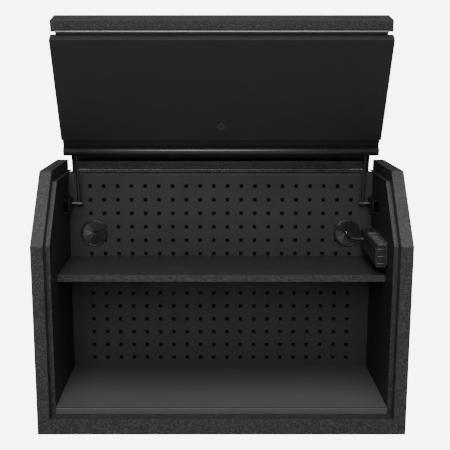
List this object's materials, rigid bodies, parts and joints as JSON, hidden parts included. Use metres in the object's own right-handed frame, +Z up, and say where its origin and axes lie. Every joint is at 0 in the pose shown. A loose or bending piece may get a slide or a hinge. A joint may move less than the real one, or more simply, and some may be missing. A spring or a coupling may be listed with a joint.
{
  "type": "tool hutch",
  "caption": "Steel tool hutch with a gas-assisted lift-up lid, a folding front door, a shelf, a pegboard back and a power strip.",
  "frame": {"origin": "centre of the cabinet's underside", "axes": "+Z up, the open front faces -Y, +X to the right as seen from the front"},
  "size_m": [0.923, 0.5957, 1.0266],
  "materials": {
    "hammered_black": "hammered black powder coat",
    "liner_black": "plain black powder coat",
    "pegboard_black": "fine textured black powder coat",
    "mat_grey": "smooth dark grey liner",
    "soft_black": "soft black rubber",
    "hinge_steel": "worn black paint over steel",
    "handle_black": "satin black anodised",
    "badge_grey": "blank satin plate",
    "lock_steel": "darkened steel",
    "rod_steel": "dark polished rod",
    "tube_black": "gloss black paint",
    "strip_black": "moulded black plastic",
    "strip_metal": "black painted steel",
    "lead_black": "glossy black cord sheath"
  },
  "bodies": {
    "cabinet": {"side_shell_left": "hammered_black", "side_shell_right": "hammered_black", "inner_wall_left": "liner_black", "inner_wall_right": "liner_black", "floor_pan": "hammered_black", "floor_mat": "mat_grey", "back_panel": "hammered_black", "rear_rail": "hammered_black", "pegboard": "pegboard_black", "grommet_left": "soft_black", "grommet_right": "soft_black", "shelf": "hammered_black", "shelf_clips": "liner_black", "rear_hinge_fixed_leaf": "hinge_steel", "rear_hinge_pin": "hinge_steel", "rear_hinge_screws": "hinge_steel", "wall_bracket_left": "liner_black", "wall_bracket_right": "liner_black", "ball_stud_left": "lock_steel", "ball_stud_right": "lock_steel", "strip_plate": "strip_metal", "strip_housing": "strip_black", "strip_cap_front": "strip_black", "strip_cap_rear": "strip_black", "strip_outlets": "strip_black", "strip_clips": "strip_metal", "strain_relief": "soft_black", "power_lead": "lead_black", "lead_coil": "lead_black", "power_plug": "lead_black", "plug_pins": "lock_steel"},
    "lid": {"lid_shell": "hammered_black", "lid_stiffener": "hammered_black", "rear_hinge_lid_leaf": "hinge_steel", "lid_badge_left": "badge_grey", "lid_badge_right": "badge_grey", "lid_strut_bracket_left": "liner_black", "lid_strut_bracket_right": "liner_black", "door_hinge_lid_leaf": "hinge_steel", "door_hinge_pin": "hinge_steel"},
    "door": {"door_shell": "hammered_black", "door_inner_panel": "liner_black", "door_hinge_door_leaf": "hinge_steel", "door_handle": "handle_black", "handle_end_cap_left": "handle_black", "handle_end_cap_right": "handle_black", "lock_body": "lock_steel"},
    "lock_core": {"lock_plug": "lock_steel", "lock_cam": "lock_steel"},
    "locking_bar_left": {"lock_bar_left": "lock_steel"},
    "locking_bar_right": {"lock_bar_right": "lock_steel"},
    "spring_rod_left": {"strut_rod_left": "rod_steel"},
    "spring_rod_right": {"strut_rod_right": "rod_steel"},
    "spring_tube_left": {"strut_cylinder_left": "tube_black"},
    "spring_tube_right": {"strut_cylinder_right": "tube_black"},
    "breaker_button": {"reset_button": "strip_black"}
  },
  "joints": [
    {"name": "lid_hinge", "type": "hinge", "parent": "cabinet", "child": "lid", "pos_m": [0, 0.2215, 0.615], "axis": [1, 0, 0], "range_deg": [0, 78.3], "stiffness_Nm_per_rad": 12, "springref_deg": -148.97},
    {"name": "door_hinge", "type": "hinge", "parent": "lid", "child": "door", "pos_m": [0, -0.07946, 0.98342], "axis": [1, 0, 0], "range_deg": [-107.62, 0.02]},
    {"name": "lock_turn", "type": "hinge", "parent": "door", "child": "lock_core", "pos_m": [0, 0.02175, 0.74953], "axis": [0, -0.8721, -0.4894], "range_deg": [-0.05, 90.05]},
    {"name": "locking_bar_left_slide", "type": "slide", "parent": "door", "child": "locking_bar_left", "axis": [-1, 0, 0], "range_m": [0, 0.014]},
    {"name": "locking_bar_right_slide", "type": "slide", "parent": "door", "child": "locking_bar_right", "axis": [1, 0, 0], "range_m": [-0.00001, 0.01401]},
    {"name": "reset_push", "type": "slide", "parent": "cabinet", "child": "breaker_button", "axis": [1, 0, 0], "range_m": [0, 0.002], "stiffness_N_per_m": 400},
    {"name": "spring_swing_left", "type": "hinge", "parent": "cabinet", "child": "spring_rod_left", "pos_m": [-0.39, 0.1375, 0.531], "axis": [1, 0, 0], "range_deg": [-0.02, 82.1]},
    {"name": "spring_stroke_left", "type": "slide", "parent": "spring_rod_left", "child": "spring_tube_left", "axis": [0, -0.2307, 0.973], "range_m": [-0.14818, 0.0001]},
    {"name": "spring_swing_right", "type": "hinge", "parent": "cabinet", "child": "spring_rod_right", "pos_m": [0.39, 0.1375, 0.531], "axis": [1, 0, 0], "range_deg": [-0.02, 82.1]},
    {"name": "spring_stroke_right", "type": "slide", "parent": "spring_rod_right", "child": "spring_tube_right", "axis": [0, -0.2307, 0.973], "range_m": [-0.14818, 0.0001]}
  ],
  "couplings": [
    {"joint": "door_hinge", "follows": "lid_hinge", "ratio": -1.3742},
    {"joint": "lock_turn", "follows": "locking_bar_left_slide", "rad_per_m": 112.2},
    {"joint": "locking_bar_right_slide", "follows": "locking_bar_left_slide", "ratio": 1},
    {"joint": "spring_swing_left", "follows": "lid_hinge", "ratio": 1.0483},
    {"joint": "spring_stroke_left", "follows": "lid_hinge", "m_per_rad": -0.10835},
    {"joint": "spring_swing_right", "follows": "lid_hinge", "ratio": 1.0483},
    {"joint": "spring_stroke_right", "follows": "lid_hinge", "m_per_rad": -0.10835}
  ]
}
